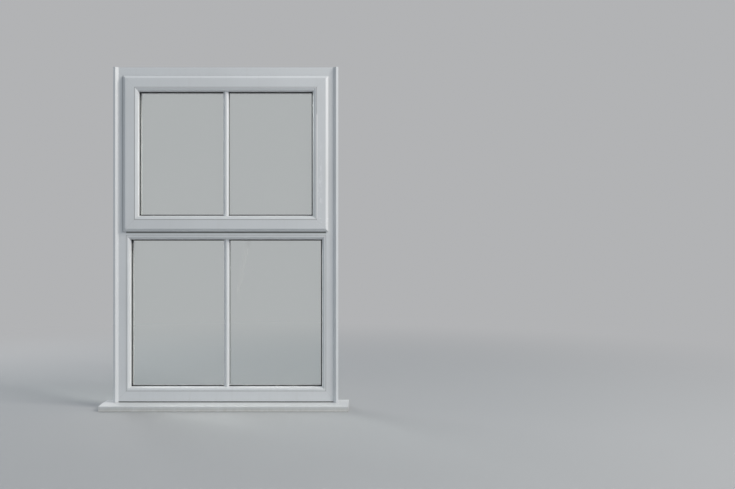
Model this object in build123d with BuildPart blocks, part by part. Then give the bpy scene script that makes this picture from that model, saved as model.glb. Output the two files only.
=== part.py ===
"""White PVC-U window made to look like a vertical slider: a top-hung outward-opening sash over a fixed light.

X runs along the wall, Y from the outside to the room and Z up. The origin is on the underside of the sill,
at the middle of the window and level with the outer face of the frame.
"""

import math
import os

from build123d import *

os.makedirs("parts", exist_ok=True)

# Outer frame, with the rebate open to the outside
frame_width = 1075.0
frame_height = 1620.0
frame_depth = 70.0
frame_block = 55.0
rebate = 20.0
upstand = 14.0
wall = 2.8
arris = 0.8
front_chamber = 12.0
chamber_split = front_chamber + wall
steel_wall = 1.5
steel_setback = 60.0
transom_steel_gap = 20.0
transom_block = 32.0
shadow_gap = 5.0
shadow_depth = 6.0

# Top-hung sash, lapping over the face of the frame
sash_height = 752.0
sash_proud = 17.0
sash_lap = 13.0
stack_gap = 13.0
lap_clearance = 4.0
seal_gap = 3.0
sash_block = 31.0
sash_chamber_back = 3.5
lip_chamfer = 13.0
lip_edge = 2.5
groove_width = 18.0
groove_depth = 3.0
groove_wall = 9.0

# Glazing
pane = 4.0
unit_thickness = 28.0
edge_clearance = 5.0
fixed_glass_depth = 24.0
sash_glass_depth = 22.0
gasket_outer = 3.0
gasket_nose = 4.5
gasket_nose_inner = 1.0
gasket_lean = 0.35
gasket_start = 12.0
edge_seal_height = 6.0
spacer_height = 12.5
bead_flat = 7.5
bead_shoulder = 5.0
bead_knee = 4.6
sash_bead_flat = 4.0
bead_wall = 1.6
bead_joint = 1.0
bar_width = 26.0
bar_top = 7.0
bar_height = 10.0
bar_side = 2.0
packer_length = 100.0
packer_share = 0.2

# Weather seals behind the lip of the sash and on the upstand of the frame
seal_clearance = 0.3
seal_slope = 1.2
lip_seal_start = 3.0
lip_seal_width = 6.0
upstand_seal_start = 14.0
upstand_seal_width = 5.2

# Sill and edge trims
sill_length = 1185.0
sill_projection = 80.0
sill_height = 30.0
sill_nose = 25.0
sill_flat = 16.0
nose_lip = 2.5
nose_lip_height = 3.0
nose_lip_rise = 4.5
nose_round = 2.5
nose_crown = 0.6
cap_thickness = 2.5
trim_width = 23.0
trim_outside = 5.0
trim_rise = 12.0
trim_edge = 1.0

# Friction stays
track_line = 18.0
pivot_above_lip = 10.0
arm_length = 170.0
shoe_arm_length = 65.0
arm_thickness = 2.8
arm_width = 18.0
shoe_arm_width = 16.0
track_width = 18.0
track_height = 8.2
track_wall = 1.5
track_slot = 11.0
track_top_gap = 12.0
track_tail = 16.0
collar_gap = 0.5
shoe_length = 36.0
shoe_neck_inset = 4.0
shoe_clearance = 0.3
pin_radius = 3.0
pin_clearance = 0.05
pin_head_radius = 4.4
pin_head = 0.6
layer_gap = 0.8
vent_bar_head = 14.0
vent_bar_tail = 60.0
screw_radius = 2.1
screw_head_radius = 3.9
screw_head = 1.2
track_screw_length = 18.0
vent_screw_length = 12.0
pilot_extra = 2.0
track_screw_top = 14.0
track_screw_down = 30.0
track_screw_up = 45.0
track_screw_end = 6.0
vent_screw_top = 30.0
vent_screw_up = 40.0
vent_screw_down = 18.0
vent_screw_end = 8.0

# Espagnolette in the bottom rail
handle_offset = -16.0
backset = 20.0
pinion_pitch_radius = 12.73
tooth_count = 16
tooth_height = 1.3
tooth_pitch_width = 1.8
tooth_tip_width = 0.9
tooth_root_width = 2.6
first_tooth = -1
last_tooth = 5
sector_margin = 0.35
root_gap = 0.2
tooth_sink = 1.5
tooth_inset = 1.3
pinion_width = 12.0
hub_radius = 6.0
rod_width = 12.0
rod_thickness = 2.2
rod_length = 420.0
rod_clearance = 0.3
rod_end_gap = 5.0
rack_length = 50.0
rack_inset = 1.0
rack_gap = 0.5
faceplate_length = 440.0
cam_spacing = 320.0
cam_radius = 3.0
cam_head_radius = 5.0
cam_head = 2.0
cam_floor_gap = 2.5
locked_travel = 20.0
case_length = 62.0
case_wall = 1.2
case_cheek = 1.7
case_top_wall = 0.6
case_fit = 0.2
sector_gap = 0.75
keep_plate = 1.5
keep_length = 48.0
keep_shift = 6.0
keep_side = 3.5
keep_margin = 3.0
keep_hook_gap = 0.4
hook_length = 18.0
hook_stem = 2.5
hook_head_gap = 0.8
hook_top_gap = 2.0
cam_slot_gap = 1.0
spindle_size = 7.0

# Handle on the room side
base_length = 70.0
base_height = 22.0
base_thickness = 11.0
lever_length = 112.0
lever_width = 19.0
lever_thickness = 12.0
lever_crank = 12.0
lever_taper = 1.5
lever_taper_start = 40.0
crank_front = 22.0
crank_back = 26.0
hub_rise = 5.0
socket_depth = 8.0
handle_round = 2.5
hub_width = 22.0
handle_gap = 0.3
handle_screw_spacing = 43.0
handle_screw_radius = 2.5
handle_screw_bite = 2.0
screw_recess = 3.0
screw_head_gap = 0.6
button_radius = 5.5
button_height = 4.0
button_bore = 7.0
button_travel = 2.5
button_margin = 2.5
button_round = 0.8

# Through fixings in the jambs
fixing_radius = 4.0
fixing_count = 4
fixing_first = 150.0
fixing_depth = 41.0

# Derived places
fixing_spacing = (frame_height - 2 * fixing_first) / (fixing_count - 1)
frame_bottom = sill_height
frame_top = frame_bottom + frame_height
frame_half = frame_width / 2
frame_face = frame_block + rebate
floor_half = frame_half - frame_block
sash_margin = frame_block - sash_lap
sash_half = frame_half - sash_margin
sash_top = frame_top - sash_margin
sash_bottom = sash_top - sash_height
lip_width = sash_lap + stack_gap
sash_face = lip_width + sash_block + rebate
sash_back = frame_depth - upstand - seal_gap
lip_back = -lap_clearance
edge_half = sash_half - lip_width
edge_top = sash_top - lip_width
edge_bottom = sash_bottom + lip_width
transom_floor = edge_bottom - stack_gap
transom_under = transom_floor - transom_block
fixed_bottom = frame_bottom + frame_block
sash_light_half = edge_half - sash_block
sash_light_top = edge_top - sash_block
sash_light_bottom = edge_bottom + sash_block
sash_glass = sash_glass_depth - sash_proud
fixed_glass = fixed_glass_depth
fixed_inner_gasket = frame_depth - upstand - fixed_glass - unit_thickness
sash_upstand_front = sash_glass + unit_thickness + fixed_inner_gasket

# Materials only colour the exported files
WHITE = Color(0.86, 0.87, 0.87)
STEEL = Color(0.62, 0.64, 0.66)
BLACK = Color(0.05, 0.05, 0.05)
GLASS = Color(0.55, 0.65, 0.65, 0.35)

# Boxes and cylinders are centred on their plane and rise from it
standing = (Align.CENTER, Align.CENTER, Align.MIN)


def save(piece, name, color):
    """Label a finished piece and write its file."""
    piece.part.label = name
    piece.part.color = color
    export_step(piece.part, f"parts/{name}.step")


def sides(half, bottom, top):
    """Corner, inward direction, run and length of each side of an upright rectangle about the middle."""
    width = 2 * half
    height = top - bottom
    return {
        "left": (Vector(-half, 0, bottom), Vector(1, 0, 0), Vector(0, 0, 1), height),
        "top": (Vector(-half, 0, top), Vector(0, 0, -1), Vector(1, 0, 0), width),
        "right": (Vector(half, 0, top), Vector(-1, 0, 0), Vector(0, 0, -1), height),
        "bottom": (Vector(half, 0, bottom), Vector(0, 0, 1), Vector(-1, 0, 0), width),
    }


def side_plane(side):
    """Section plane at the start of a side: first axis inward, second towards the room."""
    corner, inward, along, _ = side
    return Plane(origin=corner, x_dir=inward, z_dir=along)


def mitre_planes(side):
    """The two 45 degree planes that trim a length at its corners, facing the kept part."""
    corner, inward, along, length = side
    return (
        Plane(origin=corner, z_dir=along - inward),
        Plane(origin=corner + along * length, z_dir=-along - inward),
    )


def block(low_u, high_u, low_v, high_v, mode=Mode.ADD):
    """Rectangle given by its two corners."""
    Polygon((low_u, low_v), (high_u, low_v), (high_u, high_v), (low_u, high_v), mode=mode)


def frame_steel_box():
    """Room for the reinforcement in the main chamber of a frame length."""
    return (wall, frame_block - wall, chamber_split, frame_depth - upstand - wall)


def frame_section(notch):
    """Hollow section of an outer frame length, with the upstand on the room side."""
    room = frame_depth - upstand
    start = shadow_gap if notch else 0.0
    outline = [
        (start, 0.0),
        (frame_block - arris, 0.0),
        (frame_block, arris),
        (frame_block, room),
        (frame_face - arris, room),
        (frame_face, room + arris),
        (frame_face, frame_depth - 2 * arris),
        (frame_face - 2 * arris, frame_depth),
        (0.0, frame_depth),
    ]
    if notch:
        outline += [(0.0, shadow_depth), (start, shadow_depth)]
    Polygon(*outline)
    chamber_start = wall + start
    block(chamber_start, frame_block - wall, wall + start, front_chamber, Mode.SUBTRACT)
    block(*frame_steel_box(), Mode.SUBTRACT)
    block(wall, frame_face - wall, room + wall, frame_depth - wall, Mode.SUBTRACT)


def hollow_bar(low_u, high_u, low_v, high_v, thickness):
    """Rectangular steel tube that lines a chamber."""
    block(low_u, high_u, low_v, high_v)
    inner = (low_u + thickness, high_u - thickness, low_v + thickness, high_v - thickness)
    block(*inner, Mode.SUBTRACT)


def sash_steel_box():
    """Room for the reinforcement, in the outer chamber of a sash length."""
    return (lip_width + wall, lip_width + sash_block - wall, wall - sash_proud, sash_chamber_back)


def sash_section():
    """Hollow section of a sash length: lip over the frame, hardware groove and room-side upstand."""
    floor = lip_width + sash_block
    groove = (track_line - groove_width / 2, track_line + groove_width / 2)
    Polygon(
        (0.0, lip_back - lip_edge),
        (lip_chamfer, -sash_proud),
        (floor - arris, -sash_proud),
        (floor, arris - sash_proud),
        (floor, sash_upstand_front),
        (sash_face - arris, sash_upstand_front),
        (sash_face, sash_upstand_front + arris),
        (sash_face, sash_back - 2 * arris),
        (sash_face - 2 * arris, sash_back),
        (lip_width + arris, sash_back),
        (lip_width, sash_back - arris),
        (lip_width, groove[1]),
        (lip_width + groove_depth, groove[1]),
        (lip_width + groove_depth, groove[0]),
        (lip_width, groove[0]),
        (lip_width, lip_back),
        (0.0, lip_back),
    )
    block(lip_chamfer + 1, lip_width, wall - sash_proud, lip_back - wall, Mode.SUBTRACT)
    block(*sash_steel_box(), Mode.SUBTRACT)
    inner_start = sash_chamber_back + wall
    block(lip_width + groove_wall, floor - wall, inner_start, groove[1] + wall, Mode.SUBTRACT)
    block(lip_width + wall, sash_face - wall, sash_upstand_front + wall, sash_back - wall, Mode.SUBTRACT)


def bead_outline(front, flat, glass_face):
    """Points of a glazing bead from its face to the gasket, and round its back."""
    back = glass_face - gasket_outer
    shoulder = front + bead_shoulder
    knee = rebate - bead_knee
    return [
        (0.0, front + bead_joint),
        (bead_joint, front),
        (flat, front),
        (knee, shoulder),
        (rebate, back),
        (0.0, back),
    ]


def bead_section(front, flat, glass_face):
    """Hollow glazing bead."""
    back = glass_face - gasket_outer
    shoulder = front + bead_shoulder
    Polygon(*bead_outline(front, flat, glass_face))
    Polygon(
        (bead_wall, front + 2 * bead_wall),
        (flat, front + 2 * bead_wall),
        (rebate - bead_knee - bead_wall, shoulder + 1.5 * bead_wall),
        (rebate - 2.2 * bead_wall, back - bead_wall),
        (bead_wall, back - bead_wall),
        mode=Mode.SUBTRACT,
    )


def gasket_section(near, far, nose):
    """Wedge gasket from its seat to the glass, with a nose past the sight line."""
    Polygon(
        (gasket_start, near),
        (rebate, near),
        (rebate + nose, far - gasket_lean * (far - near)),
        (rebate + nose, far),
        (gasket_start, far),
    )


def pin(radius, low, high, head_radius=0.0, head_low=0.0, head_high=0.0):
    """Cylinder about the local Z axis, with an optional flat head."""
    with Locations((0, 0, low)):
        Cylinder(radius, high - low, align=standing)
    if head_radius:
        with Locations((0, 0, head_low)):
            Cylinder(head_radius, head_high - head_low, align=standing)


# Stay places: heights of the four pivots, and depths of the layers from the rebate floor
lip_pivot = sash_top + pivot_above_lip
sash_pivot = lip_pivot - arm_length
frame_pivot = lip_pivot - 2 * arm_length
shoe_arm_pivot = lip_pivot - shoe_arm_length
shoe_pivot = lip_pivot - 2 * shoe_arm_length
arm_low = track_height + layer_gap
arm_high = arm_low + arm_thickness
track_top = frame_top - frame_block - track_top_gap
track_bottom = frame_pivot - track_tail
vent_bar_top = shoe_arm_pivot + vent_bar_head
vent_bar_bottom = sash_pivot - vent_bar_tail
hand = {"left": -1, "right": 1}


track_screws = [
    track_top - track_screw_top,
    (shoe_pivot + track_top) / 2,
    sash_pivot - track_screw_down,
    frame_pivot + track_screw_up,
    track_bottom + track_screw_end,
]
vent_screws = [
    vent_bar_top - vent_screw_top,
    sash_pivot + vent_screw_up,
    sash_pivot - vent_screw_down,
    vent_bar_bottom + vent_screw_end,
]
fixings = [frame_bottom + fixing_first + fixing_spacing * i for i in range(fixing_count)]


def drill(plane, radius, depth):
    """Blind or through hole from a plane along its axis."""
    with Locations(plane):
        Cylinder(radius, depth, align=standing, mode=Mode.SUBTRACT)


def jamb_holes(side_name):
    """Through holes for the wall fixings and pilot holes for the stay track."""
    sign = hand[side_name]
    for height in fixings:
        start = Plane(origin=(sign * floor_half, fixing_depth, height), z_dir=(sign, 0, 0))
        drill(start, fixing_radius, frame_block)
    for height in track_screws:
        start = Plane(origin=(sign * floor_half, track_line, height), z_dir=(sign, 0, 0))
        drill(start, screw_radius, track_screw_length + pilot_extra)


# Outer frame: four mitred lengths
frame_sides = sides(frame_half, frame_bottom, frame_top)
frame_names = {
    "left": "frame_jamb_left",
    "top": "frame_head",
    "right": "frame_jamb_right",
    "bottom": "frame_base",
}
for key, side in frame_sides.items():
    with BuildPart() as frame_length:
        with BuildSketch(side_plane(side)):
            frame_section(notch=(key == "bottom"))
        extrude(amount=side[3])
        for mitre in mitre_planes(side):
            split(bisect_by=mitre, keep=Keep.TOP)
        if key in hand:
            jamb_holes(key)
    save(frame_length, frame_names[key], WHITE)

# Reinforcement: one steel tube in each length, cut short of the welds
steel_groups = {"steel_frame_jambs": ("left", "right"), "steel_frame_rails": ("top", "bottom")}
for name, members in steel_groups.items():
    with BuildPart() as frame_steel:
        for member in members:
            corner, inward, along, length = frame_sides[member]
            start = Plane(origin=corner + along * steel_setback, x_dir=inward, z_dir=along)
            with BuildPart(mode=Mode.PRIVATE) as tube:
                with BuildSketch(start):
                    hollow_bar(*frame_steel_box(), steel_wall)
                extrude(amount=length - 2 * steel_setback)
            add(tube.part)
        if "left" in members:
            for key in hand:
                jamb_holes(key)
    save(frame_steel, name, STEEL)

# Transom between the jambs, cut round their upstands
room_face = frame_depth - upstand
with BuildPart() as transom:
    with BuildSketch(Plane(origin=(-floor_half, 0, 0), x_dir=(0, 1, 0), z_dir=(1, 0, 0))):
        block(0.0, frame_depth, transom_under, transom_floor)
        block(room_face, frame_depth, transom_under - rebate, transom_floor + rebate)
        block(wall, front_chamber, transom_under + wall, transom_floor - wall, Mode.SUBTRACT)
        block(chamber_split, room_face - wall, transom_under + wall, transom_floor - wall, Mode.SUBTRACT)
        tip = rebate - wall
        block(room_face + wall, frame_depth - wall, transom_under - tip, transom_floor + tip, Mode.SUBTRACT)
    extrude(amount=2 * floor_half)
    tip_height = transom_block + 2 * rebate
    for sign in (-1, 1):
        corner_x = sign * (floor_half - rebate / 2)
        with Locations((corner_x, room_face + upstand / 2, transom_under + transom_block / 2)):
            Box(rebate, upstand, tip_height, mode=Mode.SUBTRACT)
save(transom, "frame_transom", WHITE)

with BuildPart() as transom_steel:
    with BuildSketch(Plane(origin=(transom_steel_gap - floor_half, 0, 0), x_dir=(0, 1, 0), z_dir=(1, 0, 0))):
        hollow_bar(chamber_split, room_face - wall, transom_under + wall, transom_floor - wall, steel_wall)
    extrude(amount=2 * (floor_half - transom_steel_gap))
save(transom_steel, "steel_frame_transom", STEEL)

# Sill: sloping top, upright nose with a small lip, three chambers
sill_half = sill_length / 2 - cap_thickness
sill_outline = [
    (frame_depth, 0.0),
    (frame_depth, sill_height),
    (-sill_flat, sill_height),
    (nose_lip + nose_round - sill_projection, sill_nose + nose_crown),
    (nose_lip + 0.28 * nose_round - sill_projection, sill_nose - 0.2 * nose_round),
    (nose_lip - sill_projection, sill_nose - nose_round),
    (nose_lip - sill_projection, nose_lip_height + nose_lip_rise),
    (-sill_projection, nose_lip_height),
    (-sill_projection, arris),
    (arris - sill_projection, 0.0),
]
sill_slope = (sill_height - sill_nose - nose_crown) / (sill_projection - sill_flat - nose_lip - nose_round)


def sill_ceiling(depth):
    """Underside of the sloping top, one wall below it."""
    return sill_height - wall - sill_slope * (-sill_flat - depth)


with BuildPart() as sill:
    with BuildSketch(Plane(origin=(-sill_half, 0, 0), x_dir=(0, 1, 0), z_dir=(1, 0, 0))):
        Polygon(*sill_outline)
        back_web = frame_depth / 2
        block(wall, back_web - wall / 2, wall, sill_height - wall, Mode.SUBTRACT)
        block(back_web + wall / 2, frame_depth - wall, wall, sill_height - wall, Mode.SUBTRACT)
        front_web = -sill_projection / 2
        nose_chamber = 2 * wall - sill_projection
        Polygon(
            (-wall, wall),
            (-wall, sill_height - wall),
            (-sill_flat, sill_height - wall),
            (front_web + wall / 2, sill_ceiling(front_web + wall / 2)),
            (front_web + wall / 2, wall),
            mode=Mode.SUBTRACT,
        )
        Polygon(
            (front_web - wall / 2, wall),
            (front_web - wall / 2, sill_ceiling(front_web - wall / 2)),
            (nose_chamber, sill_ceiling(nose_chamber)),
            (nose_chamber, wall),
            mode=Mode.SUBTRACT,
        )
    extrude(amount=2 * sill_half)
save(sill, "sill", WHITE)

for key, sign in hand.items():
    with BuildPart() as end_cap:
        with BuildSketch(Plane(origin=(sign * sill_half, 0, 0), x_dir=(0, 1, 0), z_dir=(sign, 0, 0))):
            if sign > 0:
                Polygon(*sill_outline)
            else:
                Polygon(*[(u, -v) for u, v in sill_outline])
        extrude(amount=cap_thickness)
    save(end_cap, f"sill_end_cap_{key}", WHITE)

# Edge trims down each side of the frame, two flats meeting in a ridge
for key, sign in hand.items():
    outer = sign * (frame_half + trim_outside)
    with BuildPart() as trim:
        with BuildSketch(Plane.XY.offset(frame_bottom)):
            Polygon(
                (outer, 0.0),
                (outer, -0.75 * trim_rise),
                (outer - sign * trim_edge, -0.8 * trim_rise),
                (outer - sign * 0.45 * trim_width, -trim_rise),
                (outer - sign * (trim_width - trim_edge), -1.8 * trim_edge),
                (outer - sign * trim_width, -trim_edge),
                (outer - sign * trim_width, 0.0),
            )
        extrude(amount=frame_height)
    save(trim, f"edge_trim_{key}", WHITE)


def glazing(label, half, bottom, top, front, flat, glass_face):
    """Sealed unit, gaskets, mitred beads, packers and surface bars of one light."""
    back = glass_face + unit_thickness
    middle = (bottom + top) / 2
    upstand_face = back + fixed_inner_gasket
    glass_half = half - edge_clearance
    glass_bottom = bottom + edge_clearance
    glass_top = top - edge_clearance
    light = sides(half, bottom, top)

    for place, depth in (("outer", glass_face), ("inner", back - pane)):
        with BuildPart() as sheet:
            with BuildSketch(Plane(origin=(0, depth, middle), x_dir=(1, 0, 0), z_dir=(0, 1, 0))):
                Rectangle(2 * glass_half, glass_top - glass_bottom)
            extrude(amount=pane)
        save(sheet, f"{label}_pane_{place}", GLASS)

    seal_start = edge_clearance
    spacer_start = seal_start + edge_seal_height
    rings = (
        ("edge_seal", seal_start, spacer_start, BLACK),
        ("spacer", spacer_start, spacer_start + spacer_height, STEEL),
    )
    for name, start, stop, color in rings:
        with BuildPart() as ring:
            with BuildSketch(Plane(origin=(0, glass_face + pane, middle), x_dir=(1, 0, 0), z_dir=(0, 1, 0))):
                Rectangle(2 * (half - start), top - bottom - 2 * start)
                Rectangle(2 * (half - stop), top - bottom - 2 * stop, mode=Mode.SUBTRACT)
            extrude(amount=unit_thickness - 2 * pane)
        save(ring, f"{label}_{name}", color)

    gaskets = (
        ("outer", glass_face - gasket_outer, glass_face, gasket_nose),
        ("inner", upstand_face, back, gasket_nose_inner),
    )
    for place, near, far, nose in gaskets:
        with BuildPart() as gasket:
            for side in light.values():
                with BuildPart(mode=Mode.PRIVATE) as strip:
                    with BuildSketch(side_plane(side)):
                        gasket_section(near, far, nose)
                    extrude(amount=side[3])
                    for mitre in mitre_planes(side):
                        split(bisect_by=mitre, keep=Keep.TOP)
                add(strip.part)
        save(gasket, f"{label}_gasket_{place}", BLACK)

    pairs = {"sides": ("left", "right"), "rails": ("top", "bottom")}
    for name, members in pairs.items():
        with BuildPart() as beads:
            for member in members:
                side = light[member]
                with BuildPart(mode=Mode.PRIVATE) as strip:
                    with BuildSketch(side_plane(side)):
                        bead_section(front, flat, glass_face)
                    extrude(amount=side[3])
                    for mitre in mitre_planes(side):
                        split(bisect_by=mitre, keep=Keep.TOP)
                add(strip.part)
        save(beads, f"{label}_beads_{name}", WHITE)

    with BuildPart() as packers:
        for place in (2 * packer_share - 1, 1 - 2 * packer_share):
            for height in (bottom + edge_clearance / 2, top - edge_clearance / 2):
                with Locations((place * half, glass_face + unit_thickness / 2, height)):
                    Box(packer_length, unit_thickness, edge_clearance)
        for sign in (-1, 1):
            for share in (packer_share, 1 - packer_share):
                height = bottom + share * (top - bottom)
                with Locations((sign * (half - edge_clearance / 2), glass_face + unit_thickness / 2, height)):
                    Box(edge_clearance, unit_thickness, packer_length)
    save(packers, f"{label}_packers", BLACK)

    ends = (bottom, top)
    outward = {"outer": -1, "inner": 1}
    for place, facing in outward.items():
        seat = glass_face if place == "outer" else back
        with BuildPart() as bar:
            with BuildSketch(Plane.XY.offset(bottom + rebate - bead_knee)):
                Polygon(
                    (-bar_width / 2, seat),
                    (-bar_width / 2, seat + facing * bar_side),
                    (-bar_top / 2, seat + facing * bar_height),
                    (bar_top / 2, seat + facing * bar_height),
                    (bar_width / 2, seat + facing * bar_side),
                    (bar_width / 2, seat),
                )
            extrude(amount=top - bottom - 2 * (rebate - bead_knee))
            for end, sense in zip(ends, (1, -1)):
                with BuildSketch(Plane(origin=(-bar_width, 0, 0), x_dir=(0, 1, 0), z_dir=(1, 0, 0))):
                    if place == "outer":
                        cut = bead_outline(front, flat, glass_face)
                        cut = cut[:-1] + [
                            (rebate + gasket_nose, glass_face - (1 - gasket_lean) * gasket_outer),
                            (rebate + gasket_nose, glass_face),
                            (0.0, glass_face),
                        ]
                    else:
                        nose_start = upstand_face - (1 - gasket_lean) * fixed_inner_gasket
                        cut = [
                            (0.0, back),
                            (rebate + gasket_nose_inner, back),
                            (rebate + gasket_nose_inner, nose_start),
                            (rebate, upstand_face),
                            (rebate, upstand_face + bar_height),
                            (0.0, upstand_face + bar_height),
                        ]
                    Polygon(*[(v, end + sense * u) for u, v in cut])
                extrude(amount=2 * bar_width, mode=Mode.SUBTRACT)
        save(bar, f"{label}_bar_{place}", WHITE)


glazing("fixed", floor_half, fixed_bottom, transom_under, 0.0, bead_flat, fixed_glass)
glazing(
    "sash",
    sash_light_half,
    sash_light_bottom,
    sash_light_top,
    -sash_proud,
    sash_bead_flat,
    sash_glass,
)

# Sash: four mitred lengths, the bottom one routed for the espagnolette
spindle_height = edge_bottom + backset
rod_low = edge_bottom + groove_depth + rod_clearance
rod_high = rod_low + rod_thickness
rack_pitch = spindle_height - pinion_pitch_radius
case_low = rod_high + rod_clearance
case_high = spindle_height + hub_radius + case_wall + rod_clearance
case_half = pinion_width / 2 + rod_clearance + case_cheek
groove_low = track_line - groove_width / 2
sash_sides = sides(sash_half, sash_bottom, sash_top)
sash_names = {
    "left": "sash_stile_left",
    "top": "sash_top_rail",
    "right": "sash_stile_right",
    "bottom": "sash_bottom_rail",
}


def across_rail(x, depth):
    """Plane at the spindle's height, facing the room."""
    return Plane(origin=(x, depth, spindle_height), x_dir=(1, 0, 0), z_dir=(0, 1, 0))


screw_x = [handle_offset - handle_screw_spacing / 2, handle_offset + handle_screw_spacing / 2]
for key, side in sash_sides.items():
    with BuildPart() as sash_length:
        with BuildSketch(side_plane(side)):
            sash_section()
        extrude(amount=side[3])
        for mitre in mitre_planes(side):
            split(bisect_by=mitre, keep=Keep.TOP)
        if key in hand:
            sign = hand[key]
            for height in vent_screws:
                origin = (sign * (edge_half - groove_depth), track_line, height)
                start = Plane(origin=origin, z_dir=(-sign, 0, 0))
                drill(start, screw_radius, vent_screw_length + pilot_extra)
        if key == "bottom":
            rod_room = rod_length + 2 * (locked_travel + rod_end_gap)
            with Locations((handle_offset, track_line, edge_bottom + groove_depth)):
                Box(
                    rod_room,
                    rod_width + 1.0,
                    rod_thickness + 2 * rod_clearance,
                    align=standing,
                    mode=Mode.SUBTRACT,
                )
            with Locations((handle_offset, track_line, edge_bottom + groove_depth)):
                Box(
                    case_length + 2 * locked_travel,
                    2 * (case_half + case_fit),
                    case_high - edge_bottom - groove_depth + rod_clearance,
                    align=standing,
                    mode=Mode.SUBTRACT,
                )
            drill(across_rail(handle_offset, track_line), hub_radius, sash_back)
            for x in screw_x:
                drill(across_rail(x, track_line), handle_screw_radius, sash_back)
    save(sash_length, sash_names[key], WHITE)

for name, members in {"stiles": ("left", "right"), "rails": ("top", "bottom")}.items():
    with BuildPart() as sash_steel:
        for member in members:
            corner, inward, along, length = sash_sides[member]
            start = Plane(origin=corner + along * steel_setback, x_dir=inward, z_dir=along)
            with BuildPart(mode=Mode.PRIVATE) as tube:
                with BuildSketch(start):
                    hollow_bar(*sash_steel_box(), steel_wall)
                extrude(amount=length - 2 * steel_setback)
            add(tube.part)
    save(sash_steel, f"steel_sash_{name}", STEEL)

# Weather seals: one behind the lip of the sash, one on the upstand of the frame
with BuildPart() as sash_seal:
    for side in sash_sides.values():
        with BuildPart(mode=Mode.PRIVATE) as strip:
            with BuildSketch(side_plane(side)):
                Polygon(
                    (lip_seal_start, lip_back),
                    (lip_seal_start + lip_seal_width, lip_back),
                    (lip_seal_start + lip_seal_width - seal_slope, -seal_clearance),
                    (lip_seal_start + seal_slope, -seal_clearance),
                )
            extrude(amount=side[3])
            for mitre in mitre_planes(side):
                split(bisect_by=mitre, keep=Keep.TOP)
        add(strip.part)
save(sash_seal, "sash_seal", BLACK)

with BuildPart() as frame_seal:
    for side in sides(floor_half, transom_floor, frame_top - frame_block).values():
        with BuildPart(mode=Mode.PRIVATE) as strip:
            with BuildSketch(side_plane(side)):
                Polygon(
                    (upstand_seal_start, room_face),
                    (upstand_seal_start + seal_slope, sash_back + seal_clearance),
                    (upstand_seal_start + upstand_seal_width - seal_slope, sash_back + seal_clearance),
                    (upstand_seal_start + upstand_seal_width, room_face),
                )
            extrude(amount=side[3])
            for mitre in mitre_planes(side):
                split(bisect_by=mitre, keep=Keep.TOP)
        add(strip.part)
save(frame_seal, "frame_seal", BLACK)

# Friction stays, both hands: track, shoe, two arms and a bar on the sash
channel_half = track_width / 2 - track_wall
shoe_half = channel_half - shoe_clearance
hole = pin_radius + pin_clearance


def arm_blank(length, width):
    """Flat link with round ends and two holes, from the first pivot up to the second."""
    with Locations((0, 0, arm_low)):
        with Locations((0, 0, 0), (0, length, 0)):
            Cylinder(width / 2, arm_thickness, align=standing)
        with Locations((0, length / 2, 0)):
            Box(width, length, arm_thickness, align=standing)
        with Locations((0, 0, 0), (0, length, 0)):
            Cylinder(hole, arm_thickness, align=standing, mode=Mode.SUBTRACT)


def upright(side_name, height):
    """Plane on the rebate floor with its second axis up, facing the sash."""
    sign = hand[side_name]
    origin = (sign * floor_half, track_line, height)
    return Plane(origin=origin, x_dir=(0, -sign, 0), z_dir=(-sign, 0, 0))


with BuildPart() as stay_tracks:
    for key in hand:
        length = track_top - track_bottom
        with Locations(upright(key, track_bottom)):
            with Locations((0, length / 2, 0)):
                Box(track_width, length, track_height, align=standing)
            with Locations((0, length / 2, track_wall)):
                Box(
                    2 * channel_half,
                    length,
                    track_height - 2 * track_wall,
                    align=standing,
                    mode=Mode.SUBTRACT,
                )
                Box(track_slot, length, track_height, align=standing, mode=Mode.SUBTRACT)
            for height in track_screws:
                with Locations((0, height - track_bottom, 0)):
                    Cylinder(screw_radius, track_wall, align=standing, mode=Mode.SUBTRACT)
        with Locations(upright(key, frame_pivot)):
            pin(pin_radius, track_wall, arm_high, pin_head_radius, arm_high, arm_high + pin_head)
            pin(track_slot / 2 - collar_gap, track_wall, track_height)
save(stay_tracks, "stay_tracks", STEEL)

with BuildPart() as stay_shoes:
    for key in hand:
        with Locations(upright(key, shoe_pivot)):
            with Locations((0, 0, track_wall + screw_head + shoe_clearance)):
                Box(
                    2 * shoe_half,
                    shoe_length,
                    track_height - 2 * track_wall - screw_head - 2 * shoe_clearance,
                    align=standing,
                )
            neck_low = track_height - 2 * track_wall
            with Locations((0, 0, neck_low)):
                Box(
                    track_slot - 2 * shoe_clearance,
                    shoe_length - 2 * shoe_neck_inset,
                    arm_low - layer_gap / 2 - neck_low,
                    align=standing,
                )
            pin(pin_radius, neck_low, arm_high, pin_head_radius, arm_high, arm_high + pin_head)
save(stay_shoes, "stay_shoes", STEEL)

with BuildPart() as stay_shoe_arms:
    for key in hand:
        with Locations(upright(key, shoe_pivot)):
            arm_blank(shoe_arm_length, shoe_arm_width)
save(stay_shoe_arms, "stay_shoe_arms", STEEL)

with BuildPart() as stay_support_arms:
    for key in hand:
        with Locations(upright(key, frame_pivot)):
            arm_blank(arm_length, arm_width)
save(stay_support_arms, "stay_support_arms", STEEL)

with BuildPart() as stay_vent_bars:
    for key in hand:
        length = vent_bar_top - vent_bar_bottom
        with Locations(upright(key, vent_bar_bottom)):
            with Locations((0, length / 2, stack_gap)):
                Box(groove_width, length, groove_depth, align=standing)
            for height in vent_screws:
                with Locations((0, height - vent_bar_bottom, stack_gap)):
                    for radius, depth in ((screw_radius, groove_depth), (screw_head_radius, screw_head)):
                        Cylinder(radius, depth, align=standing, mode=Mode.SUBTRACT)
        for height in (sash_pivot, shoe_arm_pivot):
            with Locations(upright(key, height)):
                pin(pin_radius, arm_low, stack_gap, pin_head_radius, arm_low - pin_head, arm_low)
save(stay_vent_bars, "stay_vent_bars", STEEL)

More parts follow.
